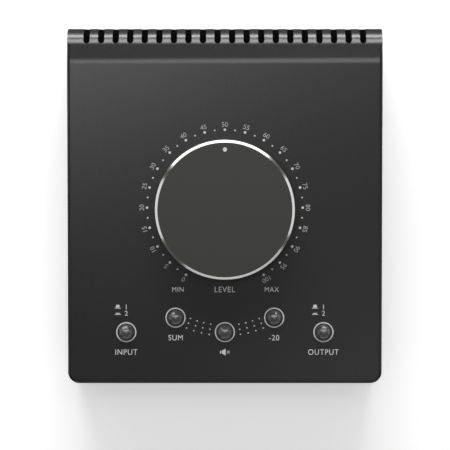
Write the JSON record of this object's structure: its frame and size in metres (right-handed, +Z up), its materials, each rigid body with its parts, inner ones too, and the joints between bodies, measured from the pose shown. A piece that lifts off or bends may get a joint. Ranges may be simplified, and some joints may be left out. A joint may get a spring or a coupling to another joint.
{
  "type": "studio monitor controller",
  "caption": "Desktop studio monitor controller: a sloped folded steel case with a large turning level knob, latching push buttons, rear vent slots and rear sockets.",
  "frame": {"origin": "on the table, under the middle of the whole part's box", "axes": "+Z up, front with the buttons towards -Y, sockets towards +Y, +X to the user's right"},
  "size_m": [0.1192, 0.1356, 0.0689],
  "materials": {
    "case_steel": "dark grey satin powder coat",
    "tray_steel": "black powder coat",
    "foot_rubber": "moulded black rubber",
    "zinc_steel": "zinc plated",
    "knob_aluminium": "dark anodised with a polished cut chamfer",
    "button_plastic": "glossy dark grey",
    "white_plastic": "moulded natural plastic",
    "black_plastic": "moulded black plastic",
    "nickel_brass": "nickel plated",
    "circuit_board": "green solder mask",
    "ribbon_sheath": "grey cable sheath",
    "polished_aluminium": "diamond cut and polished, on the knob's chamfer",
    "printed_ink": "light grey pad printed ink"
  },
  "bodies": {
    "case": {"top_cover": "case_steel", "base_tray": "tray_steel", "foot_front_left": "foot_rubber", "foot_front_right": "foot_rubber", "foot_rear_left": "foot_rubber", "foot_rear_right": "foot_rubber", "case_screw_1": "zinc_steel", "case_screw_2": "zinc_steel", "case_screw_3": "zinc_steel", "case_screw_4": "zinc_steel", "pot_body": "black_plastic", "pot_washer": "nickel_brass", "pot_nut": "nickel_brass", "input_switch": "black_plastic", "sum_switch": "black_plastic", "mute_switch": "black_plastic", "dim_switch": "black_plastic", "output_switch": "black_plastic", "control_board": "circuit_board", "standoff_1": "nickel_brass", "standoff_2": "nickel_brass", "standoff_3": "nickel_brass", "standoff_4": "nickel_brass", "board_screw_1": "zinc_steel", "board_screw_2": "zinc_steel", "board_screw_3": "zinc_steel", "board_screw_4": "zinc_steel", "jack_lower_1": "black_plastic", "jack_lower_2": "black_plastic", "jack_lower_3": "black_plastic", "jack_lower_4": "black_plastic", "jack_upper_1": "black_plastic", "jack_upper_2": "black_plastic", "jack_upper_3": "black_plastic", "jack_upper_4": "black_plastic", "jack_nut_lower_1": "nickel_brass", "jack_nut_lower_2": "nickel_brass", "jack_nut_lower_3": "nickel_brass", "jack_nut_lower_4": "nickel_brass", "jack_nut_upper_1": "nickel_brass", "jack_nut_upper_2": "nickel_brass", "jack_nut_upper_3": "nickel_brass", "jack_nut_upper_4": "nickel_brass", "jack_board": "circuit_board", "ribbon_cable": "ribbon_sheath", "ribbon_socket_upper": "black_plastic", "ribbon_socket_lower": "black_plastic"},
    "knob": {"volume_knob": "knob_aluminium", "knob_hub": "black_plastic", "pot_shaft": "zinc_steel"},
    "input_push": {"input_button": "button_plastic", "input_plunger": "white_plastic"},
    "sum_push": {"sum_button": "button_plastic", "sum_plunger": "white_plastic"},
    "mute_push": {"mute_button": "button_plastic", "mute_plunger": "white_plastic"},
    "dim_push": {"dim_button": "button_plastic", "dim_plunger": "white_plastic"},
    "output_push": {"output_button": "button_plastic", "output_plunger": "white_plastic"}
  },
  "joints": [
    {"name": "knob_turn", "type": "hinge", "parent": "case", "child": "knob", "pos_m": [0, -0.00103, 0.05162], "axis": [0, -0.0541, 0.9985], "range_deg": [-150, 150]},
    {"name": "input_press", "type": "slide", "parent": "case", "child": "input_push", "axis": [0, 0.0541, -0.9985], "range_m": [0, 0.0025], "stiffness_N_per_m": 400, "springref_m": -0.003},
    {"name": "sum_press", "type": "slide", "parent": "case", "child": "sum_push", "axis": [0, 0.0541, -0.9985], "range_m": [0, 0.0025], "stiffness_N_per_m": 400, "springref_m": -0.003},
    {"name": "mute_press", "type": "slide", "parent": "case", "child": "mute_push", "axis": [0, 0.0541, -0.9985], "range_m": [0, 0.0025], "stiffness_N_per_m": 400, "springref_m": -0.003},
    {"name": "dim_press", "type": "slide", "parent": "case", "child": "dim_push", "axis": [0, 0.0541, -0.9985], "range_m": [0, 0.0025], "stiffness_N_per_m": 400, "springref_m": -0.003},
    {"name": "output_press", "type": "slide", "parent": "case", "child": "output_push", "axis": [0, 0.0541, -0.9985], "range_m": [0, 0.0025], "stiffness_N_per_m": 400, "springref_m": -0.003}
  ]
}
